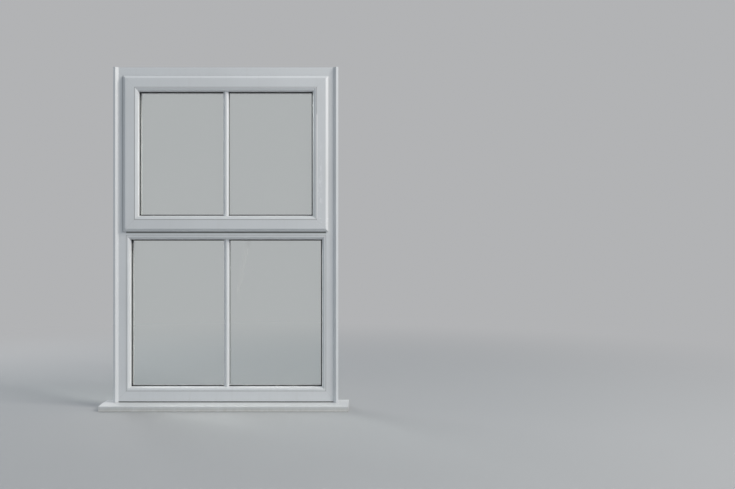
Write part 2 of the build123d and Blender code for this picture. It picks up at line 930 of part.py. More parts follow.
with BuildPart() as track_screw_set:
    for key in hand:
        for height in track_screws:
            with Locations(upright(key, height)):
                pin(
                    screw_radius,
                    -track_screw_length,
                    track_wall,
                    screw_head_radius,
                    track_wall,
                    track_wall + screw_head,
                )
save(track_screw_set, "track_screws", STEEL)

with BuildPart() as vent_screw_set:
    for key in hand:
        for height in vent_screws:
            with Locations(upright(key, height)):
                pin(
                    screw_radius,
                    stack_gap,
                    stack_gap + groove_depth + vent_screw_length,
                    screw_head_radius,
                    stack_gap,
                    stack_gap + screw_head,
                )
save(vent_screw_set, "vent_bar_screws", STEEL)

# Espagnolette: faceplate in the groove, rack rod behind it, gearbox and keeps
cam_places = [handle_offset - cam_spacing / 2, handle_offset + cam_spacing / 2]
cam_slot = locked_travel + 2 * (cam_radius + cam_slot_gap)
with BuildPart() as faceplate:
    with Locations((handle_offset, track_line, edge_bottom)):
        Box(faceplate_length, groove_width, groove_depth, align=standing)
    for x in cam_places:
        with Locations((x - locked_travel / 2, track_line, edge_bottom)):
            Box(
                cam_slot,
                2 * cam_radius + cam_slot_gap,
                groove_depth,
                align=standing,
                mode=Mode.SUBTRACT,
            )
save(faceplate, "espag_faceplate", STEEL)


def tooth(widths, root, tip):
    """Straight-sided tooth about the second axis, from root to tip with the pitch line at zero."""
    width_root, width_pitch, width_tip = widths
    Polygon(
        (-width_root / 2, root),
        (width_root / 2, root),
        (width_pitch / 2, 0.0),
        (width_tip / 2, tip),
        (-width_tip / 2, tip),
        (-width_pitch / 2, 0.0),
    )


tooth_widths = (tooth_root_width, tooth_pitch_width, tooth_tip_width)
tooth_pitch = 2 * math.pi * pinion_pitch_radius / tooth_count
rack_teeth = int(rack_length / tooth_pitch)
rack_root = rod_high - rack_pitch
with BuildPart() as rod:
    with Locations((handle_offset, track_line, rod_low)):
        Box(rod_length, rod_width, rod_thickness, align=standing)
    for i in range(rack_teeth):
        x = handle_offset + (i + 0.5 - rack_teeth / 2) * tooth_pitch
        tooth_start = (x, track_line + rod_width / 2 - rack_inset, rack_pitch)
        tooth_plane = Plane(origin=tooth_start, x_dir=(1, 0, 0), z_dir=(0, -1, 0))
        with BuildSketch(tooth_plane):
            tooth(tooth_widths, rack_root, tooth_height)
        extrude(amount=rod_width - 2 * rack_inset)
    for x in cam_places:
        head_low = transom_floor + cam_floor_gap
        with Locations((x, track_line, 0)):
            pin(cam_radius, head_low + cam_head, rod_low, cam_head_radius, head_low, head_low + cam_head)
save(rod, "espag_rod", STEEL)

tooth_step = 360.0 / tooth_count
sector_radius = pinion_pitch_radius - tooth_height - root_gap
tooth_face = pinion_width - 2 * tooth_inset
tooth_front = Plane(
    origin=(handle_offset, track_line + tooth_face / 2, spindle_height), x_dir=(1, 0, 0), z_dir=(0, -1, 0)
)
tooth_bottom = sector_radius - pinion_pitch_radius - tooth_sink
with BuildPart() as pinion:
    with BuildSketch(tooth_front):
        low_angle = math.radians((first_tooth - sector_margin) * tooth_step - 90)
        high_angle = math.radians((last_tooth + sector_margin) * tooth_step - 90)
        mid_angle = (low_angle + high_angle) / 2
        with BuildLine():
            Line((0, 0), (sector_radius * math.cos(low_angle), sector_radius * math.sin(low_angle)))
            ThreePointArc(
                (sector_radius * math.cos(low_angle), sector_radius * math.sin(low_angle)),
                (sector_radius * math.cos(mid_angle), sector_radius * math.sin(mid_angle)),
                (sector_radius * math.cos(high_angle), sector_radius * math.sin(high_angle)),
            )
            Line((sector_radius * math.cos(high_angle), sector_radius * math.sin(high_angle)), (0, 0))
        make_face()
        for i in range(first_tooth, last_tooth + 1):
            with Locations(Rotation(0, 0, i * tooth_step)):
                with Locations((0, -pinion_pitch_radius, 0)):
                    with Locations(Rotation(0, 0, 180)):
                        tooth(tooth_widths, tooth_bottom, tooth_height)
    extrude(amount=tooth_face)
    with Locations(across_rail(handle_offset, track_line - case_half)):
        Cylinder(hub_radius - pin_clearance, 2 * case_half, align=standing)
        Box(spindle_size, spindle_size, 2 * case_half, align=standing, mode=Mode.SUBTRACT)
save(pinion, "espag_pinion", STEEL)

with BuildPart() as gearbox:
    with Locations((handle_offset, track_line, case_low)):
        Box(case_length, 2 * case_half, case_high - case_low, align=standing)
        Box(
            case_length,
            rod_width,
            rack_pitch + tooth_height + rack_gap - case_low,
            align=standing,
            mode=Mode.SUBTRACT,
        )
        Box(
            2 * (pinion_pitch_radius + tooth_height + sector_gap),
            rod_width,
            case_high - case_low - case_top_wall,
            align=standing,
            mode=Mode.SUBTRACT,
        )
    drill(across_rail(handle_offset, track_line - case_half), hub_radius, 2 * case_half)
    for x in screw_x:
        drill(across_rail(x, track_line), handle_screw_radius, case_half)
save(gearbox, "espag_gearbox", STEEL)

keep_outer = track_line - cam_head_radius - keep_side
keep_inner = track_line + cam_head_radius + keep_margin
hook_face = track_line - cam_radius - keep_hook_gap
hook_low = transom_floor + cam_floor_gap + cam_head + hook_head_gap
hook_high = edge_bottom - hook_top_gap
with BuildPart() as keeps:
    for x in cam_places:
        locked_x = x - locked_travel
        with BuildSketch(Plane(origin=(locked_x - hook_length / 2, 0, 0), x_dir=(0, 1, 0), z_dir=(1, 0, 0))):
            Polygon(
                (keep_outer, transom_floor),
                (keep_inner, transom_floor),
                (keep_inner, transom_floor + keep_plate),
                (keep_outer + hook_stem, transom_floor + keep_plate),
                (keep_outer + hook_stem, hook_low),
                (hook_face, hook_low),
                (hook_face, hook_high),
                (keep_outer, hook_high),
            )
        extrude(amount=hook_length)
        with Locations((locked_x + keep_shift, (keep_outer + keep_inner) / 2, transom_floor)):
            Box(keep_length, keep_inner - keep_outer, keep_plate, align=standing)
save(keeps, "espag_keeps", STEEL)

# Handle: base plate on the rail, cranked lever, square spindle, screws and locking button
base_top = sash_back + base_thickness
recess_floor = base_top - screw_recess
with BuildPart() as base:
    with BuildSketch(across_rail(handle_offset, sash_back)):
        SlotOverall(base_length, base_height)
    extrude(amount=base_thickness)
    fillet(base.faces().sort_by(Axis.Y)[-1].edges(), handle_round)
    drill(across_rail(handle_offset, sash_back), hub_radius, base_thickness)
    for x in screw_x:
        drill(across_rail(x, sash_back), handle_screw_radius, base_thickness)
        drill(across_rail(x, recess_floor), 2 * handle_screw_radius, screw_recess)
save(base, "handle_base", WHITE)

with BuildPart() as handle_screws:
    for x in screw_x:
        with Locations(across_rail(x, 0)):
            pin(
                handle_screw_radius,
                track_line + handle_screw_bite,
                recess_floor,
                2 * handle_screw_radius,
                recess_floor,
                base_top - screw_head_gap,
            )
save(handle_screws, "handle_screws", STEEL)

lever_back = base_top + handle_gap
lever_front = lever_back + lever_thickness + hub_rise
grip_back = lever_back + lever_crank
grip_front = grip_back + lever_thickness
tip_radius = lever_width / 2 - lever_taper
with BuildPart() as lever:
    profile_start = (handle_offset - hub_width / 2, 0, spindle_height)
    with BuildSketch(Plane(origin=profile_start, x_dir=(0, 1, 0), z_dir=(1, 0, 0))):
        Polygon(
            (lever_back, -hub_width / 2),
            (lever_front, -hub_width / 2),
            (lever_front, button_radius + button_margin),
            (grip_front, hub_width / 2 + crank_front),
            (grip_front, lever_length),
            (grip_back, lever_length),
            (grip_back, hub_width / 2 + crank_back),
            (lever_back, hub_width / 2),
        )
    extrude(amount=hub_width)
    with BuildSketch(Plane(origin=(handle_offset, 0, spindle_height), x_dir=(1, 0, 0), z_dir=(0, -1, 0))):
        Circle(hub_width / 2)
        Polygon(
            (-hub_width / 2, 0),
            (hub_width / 2, 0),
            (lever_width / 2, lever_taper_start),
            (tip_radius, lever_length - tip_radius),
            (-tip_radius, lever_length - tip_radius),
            (-lever_width / 2, lever_taper_start),
        )
        with Locations((0, lever_length - tip_radius)):
            Circle(tip_radius)
    extrude(amount=-(2 * lever_front), mode=Mode.INTERSECT)
    grip_edges = lever.edges().filter_by(lambda edge: edge.center().Y > grip_front - pin_clearance)
    fillet(grip_edges, handle_round)
    with Locations(across_rail(handle_offset, lever_back)):
        Box(spindle_size, spindle_size, socket_depth, align=standing, mode=Mode.SUBTRACT)
    drill(across_rail(handle_offset, lever_front - button_bore), button_radius + pin_clearance, button_bore)
save(lever, "handle_lever", WHITE)

with BuildPart() as spindle:
    with Locations(across_rail(handle_offset, track_line - case_half)):
        Box(spindle_size, spindle_size, lever_back + socket_depth - track_line + case_half, align=standing)
save(spindle, "handle_spindle", STEEL)

button_low = lever_front - button_bore + button_travel + handle_gap
with BuildPart() as button:
    with Locations(across_rail(handle_offset, button_low)):
        Cylinder(button_radius, lever_front + button_height - button_low, align=standing)
    fillet(button.edges().sort_by(Axis.Y)[-1], button_round)
save(button, "lock_button", STEEL)
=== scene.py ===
"""Looks of the white window: materials, surface wear, painted shade and a painted highlight, a plain studio
and the camera.

Everything is in metres, in the row's frame: X along the wall, Y from outside to the room, Z up.
"""

import math

import bpy
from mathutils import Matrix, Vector

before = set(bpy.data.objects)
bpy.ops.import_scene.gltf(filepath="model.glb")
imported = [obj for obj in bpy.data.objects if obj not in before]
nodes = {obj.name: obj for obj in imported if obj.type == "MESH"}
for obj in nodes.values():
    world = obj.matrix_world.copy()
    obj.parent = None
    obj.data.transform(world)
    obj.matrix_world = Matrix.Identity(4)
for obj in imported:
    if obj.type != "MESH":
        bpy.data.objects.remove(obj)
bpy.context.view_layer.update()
scene = bpy.context.scene

MM = 0.001

# Camera fitted to the photograph: its width and focal length in its own pixels, and the eye's place
PHOTO_WIDTH = 735
FOCAL = 829.0
SENSOR = 36.0
EYE = (0.684, -4.008, 0.7935)

# Corners that the welds run from: half width, bottom and top of each mitred ring
FRAME_RING = (537.5 * MM, 30 * MM, 1650 * MM)
SASH_RING = (495.5 * MM, 856 * MM, 1608 * MM)
FIXED_BEAD_RING = (537.5 * MM, 30 * MM, 892 * MM)
WELD_WIDTH = 0.7 * MM

# Joints between the glazing beads and their profiles, written the same way
SASH_JOINT = (438.5 * MM, 913 * MM, 1551 * MM)
FIXED_JOINT = (482.5 * MM, 85 * MM, 837 * MM)
JOINT_WIDTH = 1.5 * MM

# Level dark lines of painted shade on the weather side: the shadow under the sash's lower lip and the shade
# along the frame's joint with the sill. Height of the middle and half width of each line
LIP_SHADOW_LINE = (853 * MM, 5.5 * MM)
SILL_SHADE_LINE = (32 * MM, 3.5 * MM)

# How far in from the weather side, along Y, the painted shade lines and the painted shadow beside the lip
# reach
WEATHER_DEPTH = 20 * MM

# Heights that dirt starts from, and how far up the splashes reach
SILL_TOP = 26 * MM
FRAME_FOOT = 30 * MM
FIXED_BEAD_FOOT = 85 * MM
SPLASH_REACH = 55 * MM

# Wear on the right stile and the smear on the lower right light. Each pair is the place where the mark
# fades out and the place where it shows in full, along X for a side and along Z for a foot or a head.
# The worn inner edge of the stile's face, also painted white as a highlight, has a start, a crest and an end
# along X instead.
ARRIS_X = (437.6 * MM, 438.2 * MM, 442.6 * MM)
ARRIS_FOOT = (915 * MM, 925 * MM)
ARRIS_HEAD = (1430 * MM, 1400 * MM)
ARRIS_RISE = 5 * MM
RUB_LEFT = (444 * MM, 448 * MM)
RUB_RIGHT = (470 * MM, 460 * MM)
RUB_FOOT = (940 * MM, 1000 * MM)
RUB_HEAD = (1300 * MM, 1220 * MM)
SCRATCH_LEFT = (415 * MM, 430 * MM)
SCRATCH_HEAD = (930 * MM, 920 * MM)
SMEAR_SIDE = (16 * MM, 4 * MM)
SMEAR_FOOT = (500 * MM, 600 * MM)
SMEAR_HEAD = (835 * MM, 790 * MM)

# Middle line of the smear: a point on it, and its lean along X for each metre up
SMEAR_POINT = (50 * MM, 546 * MM)
SMEAR_LEAN = 0.21

# Plastic, and what lies on it
CLEAN_WHITE = (0.787, 0.80, 0.812)
CHALKY_WHITE = (0.746, 0.758, 0.766)
# White of the scuffs, and of the painted highlight along the stile's worn edge
WORN_AND_HIGHLIGHT_WHITE = (0.95, 0.95, 0.97)
RAIN_DUST = (0.60, 0.59, 0.55)
# Painted shade where faces meet, mixed with held dirt
CORNER_SHADE_AND_DIRT = (0.24, 0.232, 0.2)
SPLASH_DIRT = (0.46, 0.43, 0.38)
# Tone that the sill darkens to towards its underside
NOSE_DARK_TONE = (0.42, 0.40, 0.34)
WELD_TONE = (0.42, 0.43, 0.43)
JOINT_TONE = (0.24, 0.235, 0.22)
# Painted shadow of the sash's left lip on the frame
LIP_SHADOW_TONE = (0.12, 0.125, 0.11)
# Painted shade of the level dark lines
SHADE_LINE_TONE = (0.10, 0.11, 0.085)

# The other materials
GASKET_BLACK = (0.011, 0.011, 0.012)
SEALANT_BLACK = (0.009, 0.009, 0.009)
GASKET_DUST = (0.07, 0.067, 0.06)
GLASS_TINT = (0.968, 0.985, 0.978, 1.0)
GLASS_DUST = (0.78, 0.78, 0.76, 1.0)
SPACER_TONES = ((0.37, 0.37, 0.375), (0.30, 0.30, 0.305))
COAT_TONES = ((0.76, 0.77, 0.78), (0.72, 0.725, 0.725))
PACKER_TONES = ((0.05, 0.12, 0.34), (0.07, 0.16, 0.42))
STEEL_STAIN = (0.3, 0.29, 0.27)
ZINC_STAIN = (0.45, 0.44, 0.4)

# Studio: tone of the floor near the window, and of all that lies far behind it
FLOOR_TONE = (0.45, 0.455, 0.46)
BACKDROP_TONE = (0.445, 0.45, 0.46)
FLOOR_RADIUS = 14.0
FLOOR_SIDES = 96
FADE_START = 1.0
FADE_END = 4.5
LAMPS_AIM = (0.0, 0.0, 0.85)
SKY_TONE = (0.80, 0.90, 1.0, 1.0)
SKY_STRENGTH = 0.42


class Tree:
    """A short way to build a node tree."""

    def __init__(self, tree):
        self.tree = tree

    def add(self, kind, **settings):
        node = self.tree.nodes.new("ShaderNode" + kind)
        for key, value in settings.items():
            setattr(node, key, value)
        return node

    def link(self, source, target):
        self.tree.links.new(source, target)

    def math(self, operation, first, second=None, clamp=False):
        """One math node; sockets are linked and numbers are set."""
        node = self.add("Math", operation=operation, use_clamp=clamp)
        for index, value in enumerate((first, second)):
            if value is None:
                continue
            if isinstance(value, (int, float)):
                node.inputs[index].default_value = value
            else:
                self.link(value, node.inputs[index])
        return node.outputs[0]

    def product(self, first, *others):
        """All the values multiplied together."""
        for other in others:
            first = self.math("MULTIPLY", first, other)
        return first

    def distance(self, first, second):
        """How far two values lie from each other."""
        return self.math("ABSOLUTE", self.math("SUBTRACT", first, second))

    def place(self):
        """Object coordinates: the row's own metres, because each node's object stays at the origin."""
        return self.add("TexCoord").outputs["Object"]

    def split(self, vector):
        node = self.add("SeparateXYZ")
        self.link(vector, node.inputs[0])
        return node.outputs

    def noise(self, vector, scale, detail=3.0, roughness=0.5, stretch=(1, 1, 1)):
        mapping = self.add("Mapping")
        mapping.inputs["Scale"].default_value = stretch
        self.link(vector, mapping.inputs["Vector"])
        node = self.add("TexNoise")
        node.inputs["Scale"].default_value = scale
        node.inputs["Detail"].default_value = detail
        node.inputs["Roughness"].default_value = roughness
        self.link(mapping.outputs[0], node.inputs["Vector"])
        return node.outputs[0]

    def ramp(self, value, low, high, start=0.0, stop=1.0):
        """Straight map of a value from one range to another, clamped."""
        node = self.add("MapRange")
        node.inputs["From Min"].default_value = low
        node.inputs["From Max"].default_value = high
        node.inputs["To Min"].default_value = start
        node.inputs["To Max"].default_value = stop
        self.link(value, node.inputs["Value"])
        return node.outputs[0]

    def blend(self, factor, first, second):
        """Mix two colours; either may be a socket or a plain colour."""
        node = self.add("Mix", data_type="RGBA")
        self.link(factor, node.inputs[0])
        for socket, value in ((node.inputs[6], first), (node.inputs[7], second)):
            if isinstance(value, tuple):
                socket.default_value = (*value, 1.0)
            else:
                self.link(value, socket)
        return node.outputs[2]

    def mix(self, factor, first, second):
        """Mix two shaders."""
        node = self.add("MixShader")
        for index, source in enumerate((factor, first, second)):
            self.link(source, node.inputs[index])
        return node.outputs[0]

    def rounded(self, radius, samples=4):
        """The surface's normal with its edges softened."""
        node = self.add("Bevel", samples=samples)
        node.inputs["Radius"].default_value = radius
        return node.outputs[0]

    def bump(self, height, distance, strength=1.0, below=None):
        node = self.add("Bump")
        node.inputs["Strength"].default_value = strength
        node.inputs["Distance"].default_value = distance
        self.link(height, node.inputs["Height"])
        if below is not None:
            self.link(below, node.inputs["Normal"])
        return node.outputs[0]

    def shown(self):
        """1 for the rays that show the background: from the camera, off gloss and through glass."""
        path = self.add("LightPath").outputs
        either = self.math("MAXIMUM", path["Is Camera Ray"], path["Is Glossy Ray"])
        return self.math("MAXIMUM", either, path["Is Transmission Ray"])


class Surface(Tree):
    """The node tree of one material, with its main shader."""

    def __init__(self, name):
        self.material = bpy.data.materials.new(name)
        self.material.use_nodes = True
        super().__init__(self.material.node_tree)
        self.shader = self.tree.nodes["Principled BSDF"]
        self.output = self.tree.nodes["Material Output"]

    def set(self, **values):
        """Constant values on the main shader, by socket name with underscores."""
        for key, value in values.items():
            self.shader.inputs[key.replace("_", " ")].default_value = value

    def feed(self, **sources):
        """Links into the main shader, by socket name with underscores."""
        for key, source in sources.items():
            self.link(source, self.shader.inputs[key.replace("_", " ")])


def ring_distance(tree, place, ring):
    """How far a point lies from the four straight lines of a ring, in metres."""
    half, low, high = ring
    x, _, z = tree.split(place)
    across = tree.math("SUBTRACT", tree.math("ABSOLUTE", x), half)
    up = tree.math("MAXIMUM", tree.math("SUBTRACT", low, z), tree.math("SUBTRACT", z, high))
    return tree.math("ABSOLUTE", tree.math("MAXIMUM", across, up))


def weld_distance(tree, place, ring):
    """How far a point lies from the 45 degree weld of the nearest corner of a ring, in metres."""
    half, low, high = ring
    x, _, z = tree.split(place)
    across = tree.math("SUBTRACT", half, tree.math("ABSOLUTE", x))
    up = tree.math("MINIMUM", tree.math("SUBTRACT", z, low), tree.math("SUBTRACT", high, z))
    return tree.distance(across, up)


def weather_side(tree, y):
    """1 on the faces turned to the weather and 0 further in."""
    return tree.ramp(y, WEATHER_DEPTH + 2 * MM, WEATHER_DEPTH)


def corner_shade_and_dirt(tree, place):
    """How much painted shade darkens the places where faces meet, from ambient occlusion, mixed with held
    dirt, a little patchy.
    """
    hollow = tree.add("AmbientOcclusion", samples=12)
    hollow.inputs["Distance"].default_value = 6 * MM
    speck = tree.ramp(tree.noise(place, 90.0, 2.0, 0.6), 0.3, 0.7, 0.75, 1.0)
    return tree.product(tree.ramp(hollow.outputs["AO"], 0.6, 0.25), speck, 0.6)


def splashes(tree, place, foot):
    """How much dirt the rain has splashed up from the level of a foot."""
    _, _, z = tree.split(place)
    low = tree.ramp(z, foot + SPLASH_REACH, foot)
    drops = tree.ramp(tree.noise(place, 70.0, 5.0, 0.7), 0.52, 0.75)
    return tree.product(low, drops, 0.16)


def nose_darkening(tree, place):
    """How much darker the sill grows below its top, towards its underside, in patches."""
    _, _, z = tree.split(place)
    under = tree.ramp(z, SILL_TOP, 2 * MM, 0.12, 0.6)
    patchy = tree.noise(place, 25.0, 4.0, 0.65, (1.0, 1.0, 0.4))
    return tree.product(under, tree.ramp(patchy, 0.3, 0.65, 0.6, 1.0))


def lip_shadow(tree, place):
    """How dark the painted shadow is that the sash's left lip casts on the frame beside it."""
    half, low, high = SASH_RING
    x, y, z = tree.split(place)
    gap = tree.distance(x, -(half + 2 * MM))
    height = tree.product(tree.ramp(z, low - 3 * MM, low), tree.ramp(z, high + 3 * MM, high))
    return tree.product(height, tree.ramp(gap, 4 * MM, 2 * MM, 0.0, 0.5), weather_side(tree, y))


def shade_line_darkness(tree, place, shade_line):
    """How dark a level line of painted shade is."""
    height, half_width = shade_line
    _, y, z = tree.split(place)
    line = tree.ramp(tree.distance(z, height), half_width, 0.5 * half_width, 0.0, 0.85)
    return tree.product(line, weather_side(tree, y))


def worn_arris_and_highlight(tree, place):
    """Height of the worn inner edge of the right stile's face, which turns to the light there; the same line
    is painted white as wear and a painted highlight.
    """
    start, crest, end = ARRIS_X
    x, _, z = tree.split(place)
    flanks = tree.math("MINIMUM", tree.ramp(x, start, crest), tree.ramp(x, end, crest))
    worn = tree.ramp(tree.noise(place, 16.0, 4.0, 0.7), 0.44, 0.56, 0.5, 1.0)
    length = tree.product(tree.ramp(z, *ARRIS_HEAD), tree.ramp(z, *ARRIS_FOOT))
    return tree.product(flanks, worn, length)


def scuff_marks(tree, place):
    """Faint patches down the right stile, and scratches across the mitre below it."""
    x, _, z = tree.split(place)
    width = tree.product(tree.ramp(x, *RUB_LEFT), tree.ramp(x, *RUB_RIGHT))
    height = tree.product(tree.ramp(z, *RUB_FOOT), tree.ramp(z, *RUB_HEAD, 0.0, 0.6))
    rubs = tree.ramp(tree.noise(place, 64.0, 6.0, 0.75, (1.0, 1.0, 0.45)), 0.52, 0.6)
    corner = tree.product(tree.ramp(x, *SCRATCH_LEFT), tree.ramp(z, *SCRATCH_HEAD))
    scratches = tree.ramp(tree.noise(place, 60.0, 4.0, 0.7, (1.0, 1.0, 3.0)), 0.58, 0.63)
    return tree.math("ADD", tree.product(width, height, rubs), tree.product(corner, scratches), True)


def plastic(name, ring=None, joint=None, shade_line=None, foot=None, nose=False, lip=False, scuffs=False):
    """White extruded plastic: cool white, soft shine, a faint wave, painted shade and dirt in the corners.

    ring holds the mitred corners, joint the line where the beads meet the profile, shade_line a level line of
    painted shade and foot the height that splashes rise from; nose darkens the sill towards its underside,
    lip paints the shadow beside the sash's left lip, and scuffs adds wear and a painted highlight on the
    right stile.
    """
    tree = Surface(name)
    place = tree.place()
    tree.set(IOR=1.5, Specular_IOR_Level=0.36)

    base = tree.blend(tree.ramp(tree.noise(place, 2.3, 4.0, 0.6), 0.35, 0.7), CLEAN_WHITE, CHALKY_WHITE)
    streaks = tree.noise(place, 6.0, 6.0, 0.62, (9.0, 9.0, 0.5))
    base = tree.blend(tree.ramp(streaks, 0.54, 0.8, 0.0, 0.16), base, RAIN_DUST)
    # Painted shade where faces meet, from ambient occlusion, with some held dirt
    base = tree.blend(corner_shade_and_dirt(tree, place), base, CORNER_SHADE_AND_DIRT)
    if foot is not None:
        base = tree.blend(splashes(tree, place, foot), base, SPLASH_DIRT)
    # The sill darkens towards its underside
    if nose:
        base = tree.blend(nose_darkening(tree, place), base, NOSE_DARK_TONE)

    normal = tree.rounded(0.45 * MM)
    normal = tree.bump(tree.noise(place, 420.0, 2.0), 0.05 * MM, 0.35, normal)
    normal = tree.bump(tree.noise(place, 11.0, 1.0, 0.4, (1.0, 1.0, 0.35)), 0.5 * MM, 0.12, normal)
    if ring:
        gap = weld_distance(tree, place, ring)
        normal = tree.bump(tree.ramp(gap, 0.15 * WELD_WIDTH, WELD_WIDTH), 0.25 * MM, 0.9, normal)
        base = tree.blend(tree.ramp(gap, WELD_WIDTH, 0.2 * WELD_WIDTH, 0.0, 0.42), base, WELD_TONE)
    if joint:
        gap = ring_distance(tree, place, joint)
        base = tree.blend(tree.ramp(gap, JOINT_WIDTH, 0.4 * JOINT_WIDTH, 0.0, 0.65), base, JOINT_TONE)
    # Painted shadow cast by the sash's left lip on the frame beside it
    if lip:
        base = tree.blend(lip_shadow(tree, place), base, LIP_SHADOW_TONE)
    # Level line of painted shade: the shadow under the sash's lip, and shade along the frame's joint with the
    # sill
    if shade_line:
        base = tree.blend(shade_line_darkness(tree, place, shade_line), base, SHADE_LINE_TONE)

    shine = tree.ramp(tree.noise(place, 18.0, 5.0, 0.6), 0.3, 0.75, 0.3, 0.44)
    if scuffs:
        arris = worn_arris_and_highlight(tree, place)
        normal = tree.bump(arris, ARRIS_RISE, 1.0, normal)
        # The scuffs are wear; the white along the worn edge is wear and a painted highlight
        wear_and_highlight = tree.math("MAXIMUM", scuff_marks(tree, place), tree.ramp(arris, 0.05, 0.3))
        base = tree.blend(tree.product(wear_and_highlight, 0.9), base, WORN_AND_HIGHLIGHT_WHITE)
        shine = tree.math("ADD", shine, tree.product(wear_and_highlight, 0.25))
    tree.feed(Base_Color=base, Roughness=shine, Normal=normal)
    return tree.material


def rubber(name, colour):
    """Black gasket or sealant: matt, dusty, finely grained."""
    tree = Surface(name)
    place = tree.place()
    tree.set(Specular_IOR_Level=0.22)
    dust = tree.ramp(tree.noise(place, 70.0, 5.0, 0.7), 0.5, 0.75, 0.0, 0.12)
    tree.feed(
        Base_Color=tree.blend(dust, colour, GASKET_DUST),
        Roughness=tree.ramp(tree.noise(place, 30.0), 0.3, 0.7, 0.6, 0.8),
        Normal=tree.bump(tree.noise(place, 600.0, 2.0), 0.1 * MM, 0.4),
    )
    return tree.material


def clear_glass(name, dusty):
    """Float glass: clear with a slight green tint; the weather side carries dust, drops and a wiped smear."""
    tree = Surface(name)
    tree.set(Base_Color=GLASS_TINT, Roughness=0.0, IOR=1.5, Transmission_Weight=1.0)
    tree.material.use_transparent_shadow = True

    # Light passes straight through for shadows, so that what stands behind the glass is lit
    straight = tree.add("BsdfTransparent")
    straight.inputs[0].default_value = GLASS_TINT
    in_shadow = tree.add("LightPath").outputs["Is Shadow Ray"]
    surface = tree.mix(in_shadow, tree.shader.outputs[0], straight.outputs[0])
    if dusty:
        powder = tree.add("BsdfDiffuse")
        powder.inputs[0].default_value = GLASS_DUST
        surface = tree.mix(dust_share(tree, tree.place()), surface, powder.outputs[0])
    tree.link(surface, tree.output.inputs["Surface"])
    return tree.material


def dust_share(tree, place):
    """How much of the glass the dust hides: a thin haze, dried drops in patches, and a long smear."""
    drops = tree.add("TexVoronoi")
    drops.inputs["Scale"].default_value = 85.0
    tree.link(place, drops.inputs["Vector"])
    rings = tree.ramp(drops.outputs["Distance"], 0.0, 0.4, 1.0, 0.0)
    patch = tree.ramp(tree.noise(place, 4.5, 5.0, 0.6), 0.5, 0.72)
    fine = tree.ramp(tree.noise(place, 210.0, 3.0, 0.8), 0.55, 0.7)
    spots = tree.product(rings, fine, patch, 0.3)
    haze = tree.product(tree.ramp(tree.noise(place, 2.1), 0.35, 0.75), 0.03)

    # The smear leans to the right on its way up
    x, _, z = tree.split(place)
    start_x, start_z = SMEAR_POINT
    middle = tree.math("ADD", tree.product(z, SMEAR_LEAN), start_x - SMEAR_LEAN * start_z)
    width = tree.ramp(tree.distance(x, middle), *SMEAR_SIDE)
    length = tree.product(tree.ramp(z, *SMEAR_FOOT), tree.ramp(z, *SMEAR_HEAD))
    grain = tree.ramp(tree.noise(place, 60.0, 4.0, 0.7, (1.0, 1.0, 0.2)), 0.3, 0.7, 0.3, 1.0)
    smear = tree.product(width, length, grain, 0.13)
    return tree.math("ADD", tree.math("ADD", spots, haze), smear, True)


def metal(name, colour, roughness, grain=(1, 1, 1), stain=STEEL_STAIN, stain_share=0.25):
    """Plated or stainless steel with drawn grain and dull patches."""
    tree = Surface(name)
    place = tree.place()
    tree.set(Metallic=1.0)
    dull = tree.ramp(tree.noise(place, 28.0, 6.0, 0.7), 0.5, 0.75, 0.0, stain_share)
    lines = tree.noise(place, 300.0, 3.0, 0.6, grain)
    tree.feed(
        Base_Color=tree.blend(dull, colour, stain),
        Roughness=tree.ramp(lines, 0.3, 0.7, roughness - 0.07, roughness + 0.12),
        Normal=tree.bump(lines, 0.04 * MM, 0.5, tree.rounded(0.3 * MM)),
    )
    return tree.material


def spacer_bar(name):
    """Dull rolled aluminium between the panes, finely grained."""
    tree = Surface(name)
    place = tree.place()
    tree.set(Metallic=0.25)
    lines = tree.noise(place, 260.0, 2.0)
    tree.feed(
        Base_Color=tree.blend(tree.noise(place, 35.0), *SPACER_TONES),
        Roughness=tree.ramp(lines, 0.3, 0.7, 0.5, 0.62),
        Normal=tree.bump(lines, 0.05 * MM, 0.4),
    )
    return tree.material


def powder_coat(name):
    """White powder coat of the handle: finely pebbled, glossier in places."""
    tree = Surface(name)
    place = tree.place()
    pebble = tree.noise(place, 900.0, 2.0)
    tree.feed(
        Base_Color=tree.blend(tree.ramp(tree.noise(place, 20.0, 4.0), 0.35, 0.7), *COAT_TONES),
        Roughness=tree.ramp(tree.noise(place, 45.0, 4.0), 0.3, 0.7, 0.3, 0.42),
        Normal=tree.bump(pebble, 0.04 * MM, 0.4, tree.rounded(1.0 * MM, samples=6)),
    )
    return tree.material


def packer_plastic(name):
    """Moulded glazing packer: blue, matt, ribbed across its length."""
    tree = Surface(name)
    place = tree.place()
    tree.set(Roughness=0.55)
    ribs = tree.add("TexWave", bands_direction="X")
    ribs.inputs["Scale"].default_value = 80.0
    tree.link(place, ribs.inputs["Vector"])
    tree.feed(
        Base_Color=tree.blend(tree.noise(place, 40.0), *PACKER_TONES),
        Normal=tree.bump(ribs.outputs["Fac"], 0.3 * MM, 0.6),
    )
    return tree.material


def dress(material, names):
    """Put one material on every slot of the named nodes."""
    for name in names:
        for slot in nodes[name].material_slots:
            slot.material = material


def named(*parts):
    """Nodes whose names hold any of the given words."""
    return [name for name in nodes if any(part in name for part in parts)]


